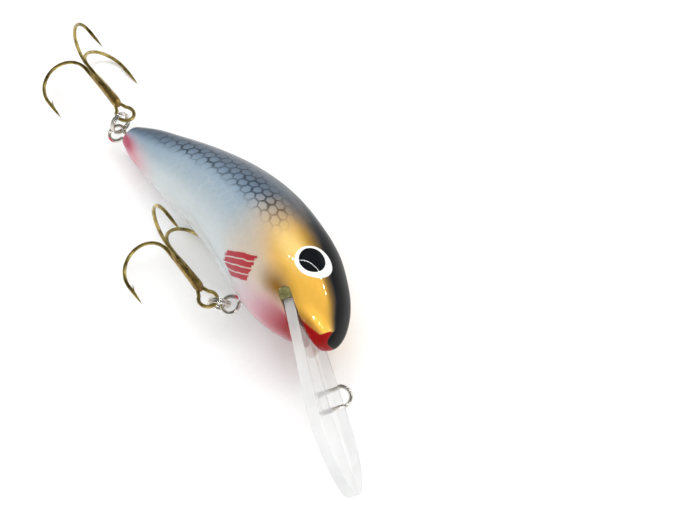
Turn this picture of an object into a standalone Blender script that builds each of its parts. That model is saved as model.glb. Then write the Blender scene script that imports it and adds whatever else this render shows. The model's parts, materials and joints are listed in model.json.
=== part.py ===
"""Deep-diving crankbait lure, lying on its left flank.

Two moulded body halves carry a clear diving bib in a full-width slot, a wire tow eye, two wire
hook hangers, the keel ballast and two rattle balls. A split ring and a treble hook hang from
each hanger.

The lure is drawn upright in its own axes: X from the tail end to the nose, Y to its left and
Z towards its back. The empty "rest_pose" lays it on its left flank, with its nose towards +X
and its back towards +Y, on the plane Z = 0 below the origin.
"""

import math

import bmesh
import bpy
import numpy as np
from mathutils import Matrix, Vector

MM = 0.001
GAP = 0.3 * MM

# How the lure lies: its back and its nose are raised from the table.
REST_ROLL = math.radians(17.4)
REST_PITCH = math.radians(7.4)

# Body: outline knots along its length, as (share of length, back, belly, half width).
BODY_LENGTH = 75.0 * MM
BODY_KNOTS = [
    (0.00, 0.9, -3.8, 1.8),
    (0.06, 3.6, -5.2, 2.7),
    (0.15, 6.4, -6.0, 4.0),
    (0.30, 10.4, -6.9, 6.3),
    (0.45, 13.0, -7.9, 9.0),
    (0.60, 13.6, -10.2, 11.1),
    (0.75, 11.7, -12.3, 11.0),
    (0.88, 8.6, -11.4, 10.0),
    (1.00, 7.8, -8.4, 9.0),
]
NOSE_START = 0.80
NOSE_TIP_Z = -4.5 * MM
NOSE_FULLNESS = 0.7
SECTION_POWER = 2.3
WALL = 1.7 * MM
SECTION_POINTS = 18

# Chambers inside the body, as (start, end) along X; the ribs between them are solid.
CHAMBERS = {"rear": (13.0 * MM, 27.0 * MM), "middle": (29.0 * MM, 45.0 * MM)}
SHOULDER_CHAMBER = {"start": 47.0 * MM, "end": 57.0 * MM, "floor": -5.0 * MM}

# Diving bib, in the axes of its own plane: s forward along it and h off its upper face.
BIB_ANGLE = math.radians(29.2)
BIB_ORIGIN = Vector((67.46, 0.0, -6.58)) * MM
BIB_THICKNESS = 2.4 * MM
BIB_INNER_END = -4.5 * MM
BIB_ROOT_HALF_WIDTH = 7.9 * MM
BIB_HALF_WIDTH = 13.3 * MM
BIB_WIDEST = 21.2 * MM
BIB_TIP = 37.6 * MM
SLOT_BACK = 2.2 * MM

# Tow eye: a hairpin through two holes of the bib, with both legs under it.
TOW_WIRE_RADIUS = 0.45 * MM
TOW_HOLES = (15.0 * MM, 19.3 * MM)
TOW_LOOP_HEIGHT = 4.4 * MM
TOW_LEG_SIDE = 0.65 * MM
TOW_HOLE_SIDE = 0.35 * MM
TOW_LEG_END = -5.0 * MM

# Hook hangers: centre of each eyelet, and the direction of its legs into the body.
HANGER_WIRE_RADIUS = 0.45 * MM
HANGER_LOOP_RADIUS = 1.95 * MM
HANGER_LEG_SIDE = 0.6 * MM
HANGERS = {
    "belly": {"centre": Vector((50.4, 0, -13.9)) * MM, "legs": math.radians(72), "length": 8.5 * MM},
    "tail": {"centre": Vector((-2.8, 0, -3.1)) * MM, "legs": math.radians(17), "length": 9.0 * MM},
}

# Split rings: two coils of wire, and the pull direction of each from its hanger to its treble.
RING_WIRE_RADIUS = 0.3 * MM
RING_RADIUS = 2.4 * MM
RING_PITCH = 0.63 * MM
RING_PULL = {"belly": math.radians(214), "tail": math.radians(96)}
RING_SEAT = {"belly": 0.3 * MM, "tail": 0.4 * MM}
# How far the right flank's side of each ring leans over, and how far the treble's eye has slid
# round it towards that flank.
RING_LEAN = {"belly": 0.0, "tail": math.radians(42)}
EYE_SLIDE = {"belly": math.radians(42), "tail": 0.0}

# Treble hooks: the same size at both ends of the lure.
HOOK_WIRE_RADIUS = 0.43 * MM
HOOK_EYE_RADIUS = 2.05 * MM
HOOK_SHANK = 16.1 * MM
HOOK_BEND_RADIUS = 5.96 * MM
HOOK_POINT_LEG = 5.7 * MM
HOOK_EYE_SEAT = 0.5 * MM
HOOK_DOUBLE_SIDE = 0.47 * MM
HOOK_SINGLE_OFFSET = 1.08 * MM
HOOK_SINGLE_START = 3.6 * MM
# Shank direction of each treble: (yaw towards the right flank, pitch towards the back), and
# the turn about the shank of the hook that points at the belly.
TREBLE_AIM = {
    "belly": (math.radians(-1), math.radians(7), math.radians(-4)),
    "tail": (math.radians(5.5), math.radians(7), math.radians(-1)),
}

# Pieces inside the body: the ballast, and each ball at the tail end of its chamber, where it
# has rolled against the left wall.
BALLAST_RADIUS = 2.5 * MM
BALLAST_LENGTH = 10.0 * MM
BALLAST_CENTRE = Vector((39.0, 0, -2.4)) * MM
RATTLES = {
    "front": {"radius": 2.4 * MM, "centre": Vector((49.7, 6.5, 0.5)) * MM},
    "rear": {"radius": 1.9 * MM, "centre": Vector((15.2, 0.9, 0.8)) * MM},
}


def clear_scene():
    """Remove every object that the file starts with."""
    for item in list(bpy.data.objects):
        bpy.data.objects.remove(item, do_unlink=True)


def new_collection(name):
    """Add a collection to the scene."""
    collection = bpy.data.collections.new(name)
    bpy.context.scene.collection.children.link(collection)
    return collection


def material(name, colour, roughness, metallic=0.0, alpha=1.0):
    """Make a Principled material."""
    result = bpy.data.materials.new(name)
    result.use_nodes = True
    shader = result.node_tree.nodes["Principled BSDF"]
    shader.inputs["Base Color"].default_value = (*colour, 1.0)
    shader.inputs["Roughness"].default_value = roughness
    shader.inputs["Metallic"].default_value = metallic
    shader.inputs["Alpha"].default_value = alpha
    return result


def add_part(name, mesh, finish, parent):
    """Put a finished mesh in the lure's collection, on its parent empty."""
    result = bpy.data.objects.new(name, mesh)
    LURE.objects.link(result)
    mesh.materials.clear()
    mesh.materials.append(finish)
    result.parent = parent
    return result


def add_cutter(name, mesh):
    """Put a cutter in its own collection, hidden from rendering."""
    result = bpy.data.objects.new(name, mesh)
    CUTTERS.objects.link(result)
    result.hide_render = True
    result.display_type = "WIRE"
    result.parent = REST_POSE
    return result


def add_empty(name, location, parent):
    """Add an empty that carries a moving piece on its joint's axis."""
    result = bpy.data.objects.new(name, None)
    LURE.objects.link(result)
    result.empty_display_size = 2 * MM
    result.parent = parent
    result.location = location
    return result


def subtract(target, cutter):
    """Cut one object out of another with a Boolean modifier."""
    cut = target.modifiers.new(cutter.name, "BOOLEAN")
    cut.operation = "DIFFERENCE"
    cut.solver = "EXACT"
    cut.object = cutter


def smooth_mesh(mesh, angle=40):
    """Shade a mesh smooth, with sharp edges kept above an angle in degrees."""
    mesh.shade_smooth()
    mesh.set_sharp_from_angle(angle=math.radians(angle))


def mesh_from_curve(curve):
    """Turn curve data into a welded mesh."""
    temporary = bpy.data.objects.new("temporary", curve)
    LURE.objects.link(temporary)
    bpy.context.view_layer.update()
    evaluated = temporary.evaluated_get(bpy.context.evaluated_depsgraph_get())
    mesh = bpy.data.meshes.new_from_object(evaluated)
    bpy.data.objects.remove(temporary)
    shape = bmesh.new()
    shape.from_mesh(mesh)
    bmesh.ops.remove_doubles(shape, verts=shape.verts, dist=0.001 * MM)
    bmesh.ops.recalc_face_normals(shape, faces=shape.faces)
    shape.to_mesh(mesh)
    shape.free()
    return mesh


def wire_mesh(path, radius, tapers=(), sides=2):
    """A round wire along a path; tapers maps a point's index to its share of the radius."""
    curve = bpy.data.curves.new("wire", "CURVE")
    curve.dimensions = "3D"
    curve.bevel_depth = radius
    curve.bevel_resolution = sides
    curve.use_fill_caps = True
    spline = curve.splines.new("POLY")
    spline.points.add(len(path) - 1)
    for point, place in zip(spline.points, path):
        point.co = (*place, 1.0)
    for index, share in dict(tapers).items():
        spline.points[index].radius = share
    mesh = mesh_from_curve(curve)
    smooth_mesh(mesh)
    return mesh


def plate_mesh(outlines, thickness, matrix):
    """A flat plate: closed outlines in a plane, the first one outside and the others holes."""
    curve = bpy.data.curves.new("plate", "CURVE")
    curve.dimensions = "2D"
    curve.fill_mode = "BOTH"
    curve.extrude = thickness / 2
    for outline in outlines:
        spline = curve.splines.new("POLY")
        spline.points.add(len(outline) - 1)
        spline.use_cyclic_u = True
        for point, (across, along) in zip(spline.points, outline):
            point.co = (across, along, 0.0, 1.0)
    mesh = mesh_from_curve(curve)
    mesh.transform(matrix)
    return mesh


def rounded_path(corners, radius, steps=5):
    """Replace each inner corner of a path with an arc-like bend."""
    path = [Vector(corners[0])]
    for before, corner, after in zip(corners, corners[1:], corners[2:]):
        corner = Vector(corner)
        reach = min(radius, (Vector(before) - corner).length / 2, (Vector(after) - corner).length / 2)
        start = corner + (Vector(before) - corner).normalized() * reach
        end = corner + (Vector(after) - corner).normalized() * reach
        for step in range(steps + 1):
            share = step / steps
            path.append(start.lerp(corner, share).lerp(corner.lerp(end, share), share))
    path.append(Vector(corners[-1]))
    return path


def arc(centre, first, second, radius, start, end, steps):
    """Points on an arc in the plane of two unit vectors."""
    points = []
    for step in range(steps + 1):
        angle = start + (end - start) * step / steps
        points.append(centre + (first * math.cos(angle) + second * math.sin(angle)) * radius)
    return points


def knot_curve(column):
    """A smooth curve through one column of the body's knots."""
    along = [knot[0] * BODY_LENGTH for knot in BODY_KNOTS]
    values = [knot[column] * MM for knot in BODY_KNOTS]
    slopes = np.gradient(values, along)

    def value(x):
        index = min(max(np.searchsorted(along, x) - 1, 0), len(along) - 2)
        span = along[index + 1] - along[index]
        t = (x - along[index]) / span
        return (
            values[index] * (1 + 2 * t) * (1 - t) ** 2
            + slopes[index] * span * t * (1 - t) ** 2
            + values[index + 1] * t * t * (3 - 2 * t)
            - slopes[index + 1] * span * t * t * (1 - t)
        )

    return value


def body_section(x, inset=0.0):
    """Centre height, half height and half width of the body at one station."""
    nose = max(x / BODY_LENGTH - NOSE_START, 0.0) / (1 - NOSE_START)
    closing = math.sqrt(max(1 - nose**2, 0.0))
    centre = (BACK(x) + BELLY(x)) / 2 * (1 - nose**2) + NOSE_TIP_Z * nose**2
    half_height = (BACK(x) - BELLY(x)) / 2 * closing
    half_width = HALF_WIDTH(x) * closing**NOSE_FULLNESS
    return centre, half_height - inset, half_width - inset


def section_ring(x, inset, start, end, steps, side_gap=0.0):
    """Points around a section, from one angle to another; the angle is 90 degrees at the back."""
    centre, half_height, half_width = body_section(x, inset)
    ring = []
    for step in range(steps + 1):
        angle = start + (end - start) * step / steps
        sine, cosine = math.sin(angle), math.cos(angle)
        across = math.copysign(abs(cosine) ** (2 / SECTION_POWER), cosine) * (half_width - side_gap)
        up = math.copysign(abs(sine) ** (2 / SECTION_POWER), sine) * half_height
        ring.append(Vector((x, across + side_gap, centre + up)))
    return ring


def loft(rings, closed):
    """Skin a row of rings into one closed body with flat ends."""
    shape = bmesh.new()
    rows = [[shape.verts.new(point) for point in ring] for ring in rings]
    count = len(rows[0])
    steps = count if closed else count - 1
    for row, following in zip(rows, rows[1:]):
        for index in range(steps):
            other = (index + 1) % count
            shape.faces.new((row[index], row[other], following[other], following[index]))
        if not closed:
            shape.faces.new((row[-1], row[0], following[0], following[-1]))
    shape.faces.new(rows[0])
    shape.faces.new(rows[-1])
    bmesh.ops.recalc_face_normals(shape, faces=shape.faces)
    mesh = bpy.data.meshes.new("loft")
    shape.to_mesh(mesh)
    shape.free()
    return mesh


def body_stations():
    """Stations along the body, closer together round the nose."""
    straight = [BODY_LENGTH * NOSE_START * step / 16 for step in range(16)]
    nose_angles = [math.radians(angle) for angle in range(0, 88, 8)]
    nose = [BODY_LENGTH * (NOSE_START + (1 - NOSE_START) * math.sin(angle)) for angle in nose_angles]
    return straight + nose


def body_half_mesh():
    """The left half of the body, solid, with its flat side half a gap off the mid-plane."""
    quarter = math.pi / 2
    rings = [
        section_ring(x, 0.0, quarter, -quarter, SECTION_POINTS, side_gap=GAP / 2)
        for x in body_stations()
    ]
    return loft(rings, closed=False)


def chamber_mesh(start, end, floor=None):
    """An inside space of the body, across both halves, as deep as the wall allows."""
    stations = np.linspace(start, end, 5)
    rings = []
    for x in stations:
        ring = section_ring(x, WALL, 0.0, 2 * math.pi * (1 - 1 / 28), 27)
        if floor is not None:
            for point in ring:
                point.z = max(point.z, floor)
        rings.append(ring)
    return loft(rings, closed=True)


def bib_matrix():
    """Axes of the bib: across the lure, along the bib, and off its upper face."""
    across = Vector((0, -1, 0))
    along = Vector((math.cos(BIB_ANGLE), 0, -math.sin(BIB_ANGLE)))
    upper = Vector((math.sin(BIB_ANGLE), 0, math.cos(BIB_ANGLE)))
    matrix = Matrix((across, along, upper)).transposed().to_4x4()
    matrix.translation = BIB_ORIGIN
    return matrix


def bib_outline():
    """Half of the bib widens in a straight line, and a half ellipse rounds its tip."""
    right = [(BIB_ROOT_HALF_WIDTH, BIB_INNER_END)]
    for step in range(17):
        angle = math.pi / 2 * step / 16
        across = BIB_HALF_WIDTH * math.cos(angle)
        right.append((across, BIB_WIDEST + (BIB_TIP - BIB_WIDEST) * math.sin(angle)))
    left = [(-across, along) for across, along in reversed(right[:-1])]
    return right + left


def circle_outline(centre, radius, steps=12):
    """A round hole in a plate."""
    angles = [2 * math.pi * step / steps for step in range(steps)]
    return [(centre[0] + radius * math.cos(a), centre[1] + radius * math.sin(a)) for a in angles]


def slot_outline(start, back, half, steps=8):
    """Side view of the bib's slot from start to its round back end, as (along, off) the bib."""
    outline = [(start, half)]
    for step in range(steps + 1):
        angle = math.pi / 2 + math.pi * step / steps
        outline.append((back + half + half * math.cos(angle), half * math.sin(angle)))
    outline.append((start, -half))
    return outline


def tow_eye_path():
    """The hairpin: one leg forward under the bib, over the loop, and the other leg back."""
    under = -(BIB_THICKNESS / 2 + GAP + TOW_WIRE_RADIUS)
    rear, front = TOW_HOLES
    loop_radius = (front - rear) / 2
    middle = (front + rear) / 2
    loop_centre = BIB_THICKNESS / 2 + TOW_LOOP_HEIGHT - loop_radius
    first = rounded_path(
        [
            (-TOW_LEG_SIDE, TOW_LEG_END, under),
            (-TOW_LEG_SIDE, rear - 2.2 * MM, under),
            (-TOW_HOLE_SIDE, rear, under),
            (-TOW_HOLE_SIDE, rear, loop_centre),
        ],
        0.9 * MM,
    )
    top = []
    for step in range(1, 12):
        angle = math.pi * (1 - step / 12)
        along = middle + loop_radius * math.cos(angle)
        off = loop_centre + loop_radius * math.sin(angle)
        top.append(Vector((-TOW_HOLE_SIDE * math.cos(angle), along, off)))
    last = rounded_path(
        [
            (TOW_HOLE_SIDE, front, loop_centre),
            (TOW_HOLE_SIDE, front, under),
            (TOW_LEG_SIDE, front - 2.2 * MM, under),
            (TOW_LEG_SIDE, TOW_LEG_END, under),
        ],
        0.9 * MM,
    )
    return [BIB @ point for point in first + top + last]


def hanger_path(hanger):
    """An eyelet: two legs with splayed feet in the body, and the loop between them outside."""
    inward = Vector((math.cos(hanger["legs"]), 0, math.sin(hanger["legs"])))
    sideways = Vector((-inward.z, 0, inward.x))
    neck = math.radians(24)
    opening = HANGER_LOOP_RADIUS * math.cos(neck)
    foot = hanger["length"]
    centre = hanger["centre"]
    leg = rounded_path(
        [
            centre + inward * foot + sideways * HANGER_LEG_SIDE * 3,
            centre + inward * foot + sideways * HANGER_LEG_SIDE,
            centre + inward * (opening + 0.9 * MM) + sideways * HANGER_LEG_SIDE,
            centre + inward * opening + sideways * HANGER_LOOP_RADIUS * math.sin(neck),
        ],
        0.6 * MM,
        steps=4,
    )
    mirrored = [point - sideways * 2 * (point - centre).dot(sideways) for point in reversed(leg)]
    ring = arc(centre, inward, sideways, HANGER_LOOP_RADIUS, neck, 2 * math.pi - neck, 24)
    return leg + ring[1:-1] + mirrored


def hanger_slot_mesh(hanger):
    """The T-shaped pocket across both halves that holds an eyelet's legs and feet."""
    inward = Vector((math.cos(hanger["legs"]), 0, math.sin(hanger["legs"])))
    sideways = Vector((-inward.z, 0, inward.x))
    matrix = Matrix((inward, sideways, inward.cross(sideways))).transposed().to_4x4()
    matrix.translation = hanger["centre"]
    room = HANGER_WIRE_RADIUS + GAP
    leg = HANGER_LEG_SIDE + room
    foot = 3 * HANGER_LEG_SIDE + room
    length = hanger["length"]
    half = [(HANGER_LOOP_RADIUS, leg), (length - room, leg), (length - room, foot), (length + room, foot)]
    outline = half + [(along, -across) for along, across in reversed(half)]
    return plate_mesh([outline], 2 * room, matrix)


def ring_direction(place, turn):
    """A direction in a ring's plane: its pull direction, turned towards the right flank."""
    pull = Vector((math.cos(RING_PULL[place]), 0, math.sin(RING_PULL[place])))
    return pull * math.cos(turn) - Vector((0, math.sin(turn), 0))


def ring_seat(place):
    """Where the split ring's wire sits inside its hanger."""
    return HANGERS[place]["centre"] + ring_direction(place, 0.0) * RING_SEAT[place]


def treble_seat(place):
    """Where the split ring passes through the treble's eye."""
    centre = ring_direction(place, RING_LEAN[place])
    eye = ring_direction(place, EYE_SLIDE[place])
    return ring_seat(place) + (centre + eye) * RING_RADIUS


def split_ring_mesh(place):
    """Two coils of wire from the hanger round to the treble, starting beside the hanger."""
    forward = ring_direction(place, RING_LEAN[place])
    side = ring_direction(place, RING_LEAN[place] - math.pi / 2)
    normal = forward.cross(side)
    path = []
    for step in range(56):
        turn = step / 28 - 1
        angle = 2 * math.pi * turn + math.pi / 2
        around = forward * (1 + math.cos(angle)) + side * math.sin(angle)
        path.append(around * RING_RADIUS + normal * RING_PITCH * turn)
    return wire_mesh(path, RING_WIRE_RADIUS)


def treble_axes(place):
    """Unit vectors of a treble: along the shank, towards the single hook, and across both."""
    yaw, pitch, turn = TREBLE_AIM[place]
    shank = Vector((-math.cos(yaw) * math.cos(pitch), -math.sin(yaw), math.sin(pitch)))
    belly = (Vector((0, 0, -1)) - shank * Vector((0, 0, -1)).dot(shank)).normalized()
    belly.rotate(Matrix.Rotation(turn, 3, shank))
    flank = shank.cross(belly)
    if flank.y > 0:
        flank = -flank
    return shank, belly, flank


def treble_directions(place):
    """Radial directions of the three hooks: belly, left flank and right flank."""
    shank, belly, flank = treble_axes(place)
    third = math.radians(120)
    left = belly * math.cos(third) - flank * math.sin(third)
    right = belly * math.cos(third) + flank * math.sin(third)
    return shank, belly, left, right


def hook_bend(shank, radial, foot):
    """The bend and the point of one hook, from the end of its shank to its tip."""
    centre = foot + shank * HOOK_SHANK + radial * HOOK_BEND_RADIUS
    bend = arc(centre, -radial, shank, HOOK_BEND_RADIUS, 0.0, math.pi, 18)
    tip_start = centre + radial * HOOK_BEND_RADIUS
    point = [tip_start - shank * HOOK_POINT_LEG * share for share in (0.25, 0.5, 0.8, 1.0)]
    return bend + point


def point_tapers(count, at_start):
    """Radius shares that sharpen a hook's point at one end of its wire."""
    shares = {0: 0.06, 1: 0.45, 2: 0.85}
    if at_start:
        return shares
    return {count - 1 - index: share for index, share in shares.items()}


def double_hook_mesh(place):
    """One wire: a hook, its shank, the eye, the other shank and its hook."""
    shank, belly, left, right = treble_directions(place)
    across = (belly - left).normalized()
    eye = shank * HOOK_EYE_SEAT
    belly_foot = eye + across * HOOK_DOUBLE_SIDE
    left_foot = eye - across * HOOK_DOUBLE_SIDE
    neck = math.radians(38)
    eye_arc = arc(eye, shank, across, HOOK_EYE_RADIUS, neck, 2 * math.pi - neck, 22)
    neck_start = HOOK_EYE_RADIUS * math.cos(neck) + 1.9 * MM
    belly_wire = list(reversed(hook_bend(shank, belly, belly_foot)))
    belly_wire.append(belly_foot + shank * (neck_start + 2.0 * MM))
    belly_wire.append(belly_foot + shank * neck_start)
    left_wire = [left_foot + shank * neck_start, left_foot + shank * (neck_start + 2.0 * MM)]
    left_wire += hook_bend(shank, left, left_foot)
    path = belly_wire + eye_arc + left_wire
    tapers = point_tapers(len(path), True) | point_tapers(len(path), False)
    return wire_mesh(path, HOOK_WIRE_RADIUS, tapers)


def single_hook_mesh(place):
    """The third hook, in the groove between the other two shanks, tapered at its upper end."""
    shank, _, _, right = treble_directions(place)
    foot = shank * HOOK_EYE_SEAT + right * HOOK_SINGLE_OFFSET
    path = [foot + shank * HOOK_SINGLE_START, foot + shank * (HOOK_SINGLE_START + 1.6 * MM)]
    path += hook_bend(shank, right, foot)
    tapers = point_tapers(len(path), False) | {0: 0.35}
    return wire_mesh(path, HOOK_WIRE_RADIUS, tapers)


def ball_mesh(radius):
    """A rattle ball about its own centre."""
    shape = bmesh.new()
    bmesh.ops.create_uvsphere(shape, u_segments=20, v_segments=12, radius=radius)
    mesh = bpy.data.meshes.new("ball")
    shape.to_mesh(mesh)
    shape.free()
    mesh.shade_smooth()
    return mesh


def rod_mesh(radius, length, matrix):
    """A cylinder with capped ends."""
    shape = bmesh.new()
    bmesh.ops.create_cone(
        shape, cap_ends=True, segments=24, radius1=radius, radius2=radius, depth=length, matrix=matrix
    )
    mesh = bpy.data.meshes.new("rod")
    shape.to_mesh(mesh)
    shape.free()
    return mesh


def make_body():
    """Both body halves, with the chambers, the slot and the wire channels cut out of them."""
    cutters = [add_cutter(f"cut_chamber_{name}", chamber_mesh(*span)) for name, span in CHAMBERS.items()]
    shoulder = chamber_mesh(**SHOULDER_CHAMBER)
    cutters.append(add_cutter("cut_chamber_shoulder", shoulder))
    outline = slot_outline(BIB_TIP, BIB_INNER_END - SLOT_BACK, BIB_THICKNESS / 2 + GAP)
    cutters.append(add_cutter("cut_bib_slot", plate_mesh([outline], 40 * MM, SLOT_SIDE)))
    tow_channel = wire_mesh(tow_eye_path(), TOW_WIRE_RADIUS + GAP)
    cutters.append(add_cutter("cut_tow_channel", tow_channel))
    for place, hanger in HANGERS.items():
        cutters.append(add_cutter(f"cut_{place}_hanger", hanger_slot_mesh(hanger)))
    left_mesh = body_half_mesh()
    right_mesh = left_mesh.copy()
    right_mesh.transform(Matrix.Scale(-1, 4, (0, 1, 0)))
    right_mesh.flip_normals()
    for name, mesh in (("body_shell_left", left_mesh), ("body_shell_right", right_mesh)):
        half = add_part(name, mesh, PAINTED, REST_POSE)
        for cutter in cutters:
            subtract(half, cutter)


def make_bib():
    """The bib with its two wire holes, and the glue behind its inner end."""
    hole = TOW_WIRE_RADIUS + GAP
    rear, front = TOW_HOLES
    outlines = [
        bib_outline(),
        circle_outline((-TOW_HOLE_SIDE, rear), hole),
        circle_outline((TOW_HOLE_SIDE, front), hole),
    ]
    mesh = plate_mesh(outlines, BIB_THICKNESS, BIB)
    add_part("diving_bib", mesh, CLEAR, REST_POSE)
    outline = slot_outline(BIB_INNER_END - GAP, BIB_INNER_END - SLOT_BACK + GAP, BIB_THICKNESS / 2)
    glue = plate_mesh([outline], 2 * BIB_ROOT_HALF_WIDTH, SLOT_SIDE)
    add_part("slot_glue", glue, GLUE, REST_POSE)


def make_wires():
    """The tow eye and both hook hangers."""
    add_part("tow_eye_wire", wire_mesh(tow_eye_path(), TOW_WIRE_RADIUS), NICKEL, REST_POSE)
    for place, hanger in HANGERS.items():
        mesh = wire_mesh(hanger_path(hanger), HANGER_WIRE_RADIUS)
        add_part(f"{place}_hanger", mesh, NICKEL, REST_POSE)


def make_tackle(place):
    """A split ring on its hanger, and the treble on the far side of the ring."""
    ring_pivot = add_empty(f"{place}_ring_pivot", ring_seat(place), REST_POSE)
    add_part(f"{place}_split_ring", split_ring_mesh(place), NICKEL, ring_pivot)
    reach = treble_seat(place) - ring_seat(place)
    treble_pivot = add_empty(f"{place}_treble_pivot", reach, ring_pivot)
    add_part(f"{place}_treble_double_hook", double_hook_mesh(place), BRONZE, treble_pivot)
    add_part(f"{place}_treble_single_hook", single_hook_mesh(place), BRONZE, treble_pivot)


def make_inside():
    """The ballast in its cradle and the rattle balls in their chambers."""
    lying = Matrix.Translation(BALLAST_CENTRE) @ Matrix.Rotation(math.radians(90), 4, "Y")
    ballast = rod_mesh(BALLAST_RADIUS, BALLAST_LENGTH, lying)
    smooth_mesh(ballast)
    add_part("belly_ballast", ballast, LEAD, REST_POSE)
    for name, rattle in RATTLES.items():
        ball = add_part(f"rattle_ball_{name}", ball_mesh(rattle["radius"]), STEEL, REST_POSE)
        ball.location = rattle["centre"]


def stand_on_table():
    """Move the lure so that its box stands on Z = 0 with its middle over the origin."""
    bpy.context.view_layer.update()
    depsgraph = bpy.context.evaluated_depsgraph_get()
    corners = []
    for part in LURE.objects:
        if part.type == "MESH":
            evaluated = part.evaluated_get(depsgraph)
            corners += [part.matrix_world @ vertex.co for vertex in evaluated.data.vertices]
    low = [min(corner[axis] for corner in corners) for axis in range(3)]
    high = [max(corner[axis] for corner in corners) for axis in range(3)]
    REST_POSE.location = (-(low[0] + high[0]) / 2, -(low[1] + high[1]) / 2, -low[2])
    bpy.context.view_layer.update()


clear_scene()
LURE = new_collection("crankbait_lure")
CUTTERS = new_collection("cutters")
REST_POSE = add_empty("rest_pose", (0, 0, 0), None)
REST_POSE.rotation_euler = (REST_ROLL - math.pi / 2, -REST_PITCH, 0)

PAINTED = material("painted_body", (0.55, 0.62, 0.70), 0.12)
CLEAR = material("clear_bib", (0.90, 0.93, 0.94), 0.05, alpha=0.35)
GLUE = material("olive_glue", (0.40, 0.42, 0.18), 0.25)
NICKEL = material("nickel_wire", (0.72, 0.70, 0.67), 0.2, metallic=1.0)
BRONZE = material("bronze_hook", (0.42, 0.31, 0.11), 0.25, metallic=1.0)
LEAD = material("lead_ballast", (0.35, 0.36, 0.38), 0.6, metallic=1.0)
STEEL = material("steel_ball", (0.62, 0.62, 0.63), 0.15, metallic=1.0)

BACK = knot_curve(1)
BELLY = knot_curve(2)
HALF_WIDTH = knot_curve(3)
BIB = bib_matrix()
# The same axes turned for a side view: along the bib, off its upper face, and across the lure.
SLOT_SIDE = BIB @ Matrix(((0, 0, 1, 0), (1, 0, 0, 0), (0, 1, 0, 0), (0, 0, 0, 1)))

make_body()
make_bib()
make_wires()
for tackle in ("belly", "tail"):
    make_tackle(tackle)
make_inside()
stand_on_table()
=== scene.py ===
"""Looks of the deep-diving crankbait lure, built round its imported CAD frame.

Each piece is drawn in the lure's own axes, in millimetres: X from the tail end to the nose,
Y to the lure's left and Z towards its back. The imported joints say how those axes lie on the
table, so every piece comes out where the CAD has it.
"""

import json
from math import cos, pi, radians, sin, sqrt, tan

import bmesh
import bpy
import numpy as np
from mathutils import Matrix, Vector


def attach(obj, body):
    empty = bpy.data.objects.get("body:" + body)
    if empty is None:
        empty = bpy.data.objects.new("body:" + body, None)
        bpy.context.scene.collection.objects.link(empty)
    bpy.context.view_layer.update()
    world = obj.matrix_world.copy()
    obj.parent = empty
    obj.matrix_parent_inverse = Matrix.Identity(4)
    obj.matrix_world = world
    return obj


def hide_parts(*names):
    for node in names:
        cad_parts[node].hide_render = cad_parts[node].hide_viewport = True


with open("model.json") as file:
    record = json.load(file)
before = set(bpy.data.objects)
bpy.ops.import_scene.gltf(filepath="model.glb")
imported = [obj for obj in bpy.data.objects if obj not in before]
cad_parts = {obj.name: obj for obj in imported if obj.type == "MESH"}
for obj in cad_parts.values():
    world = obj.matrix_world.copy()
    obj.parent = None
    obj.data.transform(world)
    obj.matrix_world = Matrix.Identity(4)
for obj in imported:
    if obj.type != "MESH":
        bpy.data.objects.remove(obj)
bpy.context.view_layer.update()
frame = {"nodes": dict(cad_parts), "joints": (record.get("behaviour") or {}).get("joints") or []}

MM = 0.001

# Camera, aimed at a point on the table.
CAMERA_TARGET = Vector((0.0202, 0.0228, 0.0))
CAMERA_AZIMUTH = radians(-45.9)
CAMERA_ELEVATION = radians(63.2)
CAMERA_ROLL = radians(3.3)
CAMERA_DISTANCE = 0.3094
CAMERA_LENS = 69.1

# Light: walls brighter than the ceiling, a wide panel overhead, and four rows of small lamps,
# each as (first place, last place, count, size, power).
WALL_TO_CEILING = {"From Min": 0.1, "From Max": 0.6, "To Min": 0.85, "To Max": 0.10}
PANEL_PLACE = (-0.30, -0.05, 0.8)
PANEL_SIZE = 1.6
PANEL_POWER = 12.3
LAMP_ROWS = [
    ((-0.13, 0.01, 0.40), (0.11, 0.40, 0.40), 20, 0.010, 0.014),
    ((0.12, 0.36, 0.40), (0.25, 0.34, 0.40), 3, 0.045, 0.20),
    ((0.25, -0.20, 0.40), (0.60, -0.16, 0.40), 3, 0.045, 0.22),
    ((0.68, -0.14, 0.38), (0.95, 0.22, 0.04), 10, 0.020, 0.05),
]
TABLE_SIZE = 1.5
TABLE_DROP = 0.00005

# Body: outline knots along its length, as (share of length, back, belly, half width), in mm.
BODY_LENGTH = 75.0
BODY_KNOTS = [
    (0.00, 0.9, -3.8, 1.8),
    (0.06, 3.6, -5.2, 2.7),
    (0.15, 6.4, -6.0, 4.0),
    (0.30, 10.4, -6.9, 6.3),
    (0.45, 13.0, -7.9, 9.0),
    (0.60, 13.6, -10.2, 11.1),
    (0.75, 11.7, -12.3, 11.0),
    (0.88, 8.6, -11.4, 10.0),
    (1.00, 7.8, -8.4, 9.0),
]
NOSE_START = 0.80
NOSE_TIP_Z = -4.5
NOSE_FULLNESS = 0.7
SECTION_POWER = 2.3
TAIL_ROUND = 0.9
TAIL_END_SHARE = 0.62

# Bib, its slot and the glue, measured along the bib and off its upper face, in mm.
BIB_ANGLE = radians(29.2)
BIB_ORIGIN = Vector((67.46, 0.0, -6.58))
BIB_THICKNESS = 2.4
BIB_INNER_END = -4.5
BIB_ROOT_HALF_WIDTH = 7.9
BIB_HALF_WIDTH = 13.3
BIB_WIDEST = 21.2
BIB_TIP = 37.6
BIB_EDGE = 0.3
EDGE_FACE = 1e-8
SLOT_BACK = 2.2
SLOT_GAP = 0.12
LIP_RADIUS = 0.45
WIRE_HOLE_GAP = 0.12
GLUE_GAP = 0.03
GLUE_LAP = 0.1
GLUE_HALF_WIDTH = 9.9
GLUE_MENISCUS = 0.5
GLUE_FRONT = 1
GLUE_SHARE = 0.985
CUTTER_HALF_WIDTH = 20
HOLE_CUTTER = 3

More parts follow.
